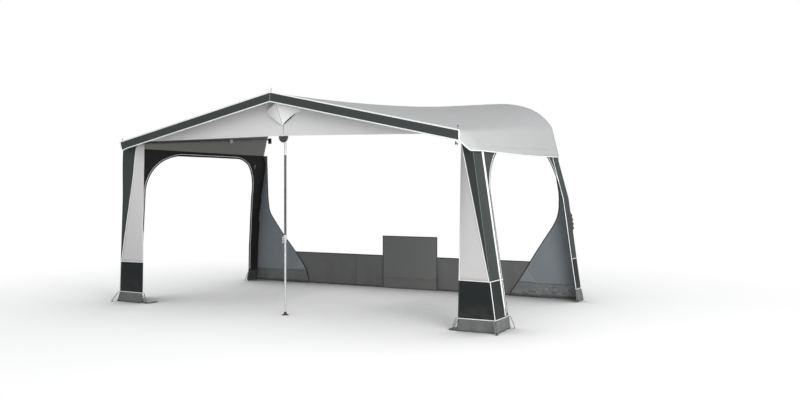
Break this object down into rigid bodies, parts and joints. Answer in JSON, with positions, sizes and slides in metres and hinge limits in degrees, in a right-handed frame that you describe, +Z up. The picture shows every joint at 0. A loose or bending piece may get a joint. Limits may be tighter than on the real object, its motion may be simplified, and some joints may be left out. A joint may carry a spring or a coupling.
{
  "type": "caravan awning",
  "caption": "Porch awning for a caravan: pitched roof with a gable on telescopic poles, tapered front pillars, arched side walls and wall skirts.",
  "frame": {"origin": "on the ground, at the middle of the awning's box", "axes": "+X along the caravan's wall, to the right as seen from the front; -Y out to the awning's front; +Z up"},
  "size_m": [4.8418, 2.801, 2.3609],
  "materials": {
    "roof_cloth": "coated polyester cloth, light grey",
    "charcoal_cloth": "woven acrylic cloth, charcoal",
    "box_cloth": "coated cloth, near black",
    "light_cloth": "coated cloth, pale grey",
    "gable_cloth": "coated cloth, pale grey",
    "white_cloth": "coated cloth, white",
    "mud_skirt": "smooth coated cloth, mid grey",
    "flap_cloth": "smooth coated cloth, blue grey",
    "draught_cloth": "smooth coated cloth, dark grey",
    "tongue_cloth": "dark cloth with pale piping",
    "zinc_steel": "zinc-plated steel tube",
    "dark_steel": "dark coated steel tube",
    "black_plastic": "moulded black plastic",
    "pale_plastic": "moulded pale grey plastic",
    "zip_metal": "die-cast zip slider"
  },
  "bodies": {
    "awning": {"corner_elbow_left": "black_plastic", "corner_elbow_right": "black_plastic", "draught_skirt": "draught_cloth", "front_band": "charcoal_cloth", "gable_panel": "gable_cloth", "leg_clamp_centre": "pale_plastic", "leg_clamp_left": "pale_plastic", "leg_clamp_right": "pale_plastic", "peak_hub": "black_plastic", "pillar_box_left": "box_cloth", "pillar_box_right": "box_cloth", "pillar_front_left": "light_cloth", "pillar_front_right": "light_cloth", "pillar_side_left": "charcoal_cloth", "pillar_side_right": "charcoal_cloth", "pillar_skirt_left": "mud_skirt", "pillar_skirt_right": "mud_skirt", "pole_tee_centre": "black_plastic", "pole_tee_left": "black_plastic", "pole_tee_right": "black_plastic", "rafter_left": "zinc_steel", "rafter_right": "zinc_steel", "rear_flap_left": "flap_cloth", "rear_flap_right": "flap_cloth", "roof": "roof_cloth", "roof_clamp_centre": "pale_plastic", "roof_clamp_left": "pale_plastic", "roof_clamp_right": "pale_plastic", "roof_pole_centre": "zinc_steel", "roof_pole_left": "zinc_steel", "roof_pole_right": "zinc_steel", "side_wall_left": "charcoal_cloth", "side_wall_right": "charcoal_cloth", "upright_centre": "dark_steel", "upright_centre_top": "zinc_steel", "upright_left": "dark_steel", "upright_right": "dark_steel", "vent_hood": "white_cloth", "wheel_cover": "draught_cloth"},
    "leg_slide_centre": {"leg_centre": "zinc_steel", "foot_centre": "black_plastic"},
    "leg_clamp_lever_centre": {"leg_lever_centre": "pale_plastic"},
    "roof_slider_centre": {"roof_slide_centre": "zinc_steel", "wall_pad_centre": "black_plastic"},
    "roof_clamp_lever_centre": {"roof_lever_centre": "pale_plastic"},
    "leg_slide_left": {"leg_left": "zinc_steel", "foot_left": "black_plastic"},
    "leg_clamp_lever_left": {"leg_lever_left": "pale_plastic"},
    "roof_slider_left": {"roof_slide_left": "zinc_steel", "wall_pad_left": "black_plastic"},
    "roof_clamp_lever_left": {"roof_lever_left": "pale_plastic"},
    "leg_slide_right": {"leg_right": "zinc_steel", "foot_right": "black_plastic"},
    "leg_clamp_lever_right": {"leg_lever_right": "pale_plastic"},
    "roof_slider_right": {"roof_slide_right": "zinc_steel", "wall_pad_right": "black_plastic"},
    "roof_clamp_lever_right": {"roof_lever_right": "pale_plastic"},
    "zip_runner_left": {"zip_slider_left": "zip_metal"},
    "zip_runner_right": {"zip_slider_right": "zip_metal"},
    "tongue": {"pole_tongue": "tongue_cloth"}
  },
  "joints": [
    {"name": "leg_length_centre", "type": "slide", "parent": "awning", "child": "leg_slide_centre", "axis": [0, 0, 1], "range_m": [0, 0.3]},
    {"name": "leg_length_left", "type": "slide", "parent": "awning", "child": "leg_slide_left", "axis": [0, 0, 1], "range_m": [0, 0.3]},
    {"name": "leg_length_right", "type": "slide", "parent": "awning", "child": "leg_slide_right", "axis": [0, 0, 1], "range_m": [0, 0.3]},
    {"name": "leg_clamp_turn_centre", "type": "hinge", "parent": "awning", "child": "leg_clamp_lever_centre", "pos_m": [-0.0831, -1.1325, 0.805], "axis": [0, 1, 0], "range_deg": [0, 100]},
    {"name": "leg_clamp_turn_left", "type": "hinge", "parent": "awning", "child": "leg_clamp_lever_left", "pos_m": [-2.1161, -1.0625, 0.805], "axis": [1, 0, 0], "range_deg": [0, 100]},
    {"name": "leg_clamp_turn_right", "type": "hinge", "parent": "awning", "child": "leg_clamp_lever_right", "pos_m": [2.0039, -1.0625, 0.805], "axis": [1, 0, 0], "range_deg": [0, 100]},
    {"name": "roof_pole_length_centre", "type": "slide", "parent": "awning", "child": "roof_slider_centre", "axis": [0, -0.9996, -0.0275], "range_m": [0, 0.2]},
    {"name": "roof_pole_length_left", "type": "slide", "parent": "awning", "child": "roof_slider_left", "axis": [0.0061, -0.9974, -0.0719], "range_m": [0, 0.2]},
    {"name": "roof_pole_length_right", "type": "slide", "parent": "awning", "child": "roof_slider_right", "axis": [-0.0061, -0.9974, -0.0719], "range_m": [0, 0.2]},
    {"name": "roof_clamp_turn_centre", "type": "hinge", "parent": "awning", "child": "roof_clamp_lever_centre", "pos_m": [-0.0561, 0.53124, 2.28984], "axis": [-1, 0, 0], "range_deg": [0, 100]},
    {"name": "roof_clamp_turn_left", "type": "hinge", "parent": "awning", "child": "roof_clamp_lever_left", "pos_m": [-2.11906, 0.53244, 1.92771], "axis": [-1, -0.0062, 0], "range_deg": [0, 100]},
    {"name": "roof_clamp_turn_right", "type": "hinge", "parent": "awning", "child": "roof_clamp_lever_right", "pos_m": [2.00686, 0.53244, 1.92771], "axis": [-1, 0.0062, 0], "range_deg": [0, 100]},
    {"name": "zip_run_left", "type": "slide", "parent": "awning", "child": "zip_runner_left", "axis": [0.0926, -0.1439, 0.9853], "range_m": [0, 1.4]},
    {"name": "zip_run_right", "type": "slide", "parent": "awning", "child": "zip_runner_right", "axis": [-0.0926, -0.1439, 0.9853], "range_m": [0, 1.4]},
    {"name": "tongue_lift", "type": "hinge", "parent": "awning", "child": "tongue", "pos_m": [-0.0561, -1.1645, 1.8587], "axis": [-1, 0, 0], "range_deg": [0, 80]}
  ]
}
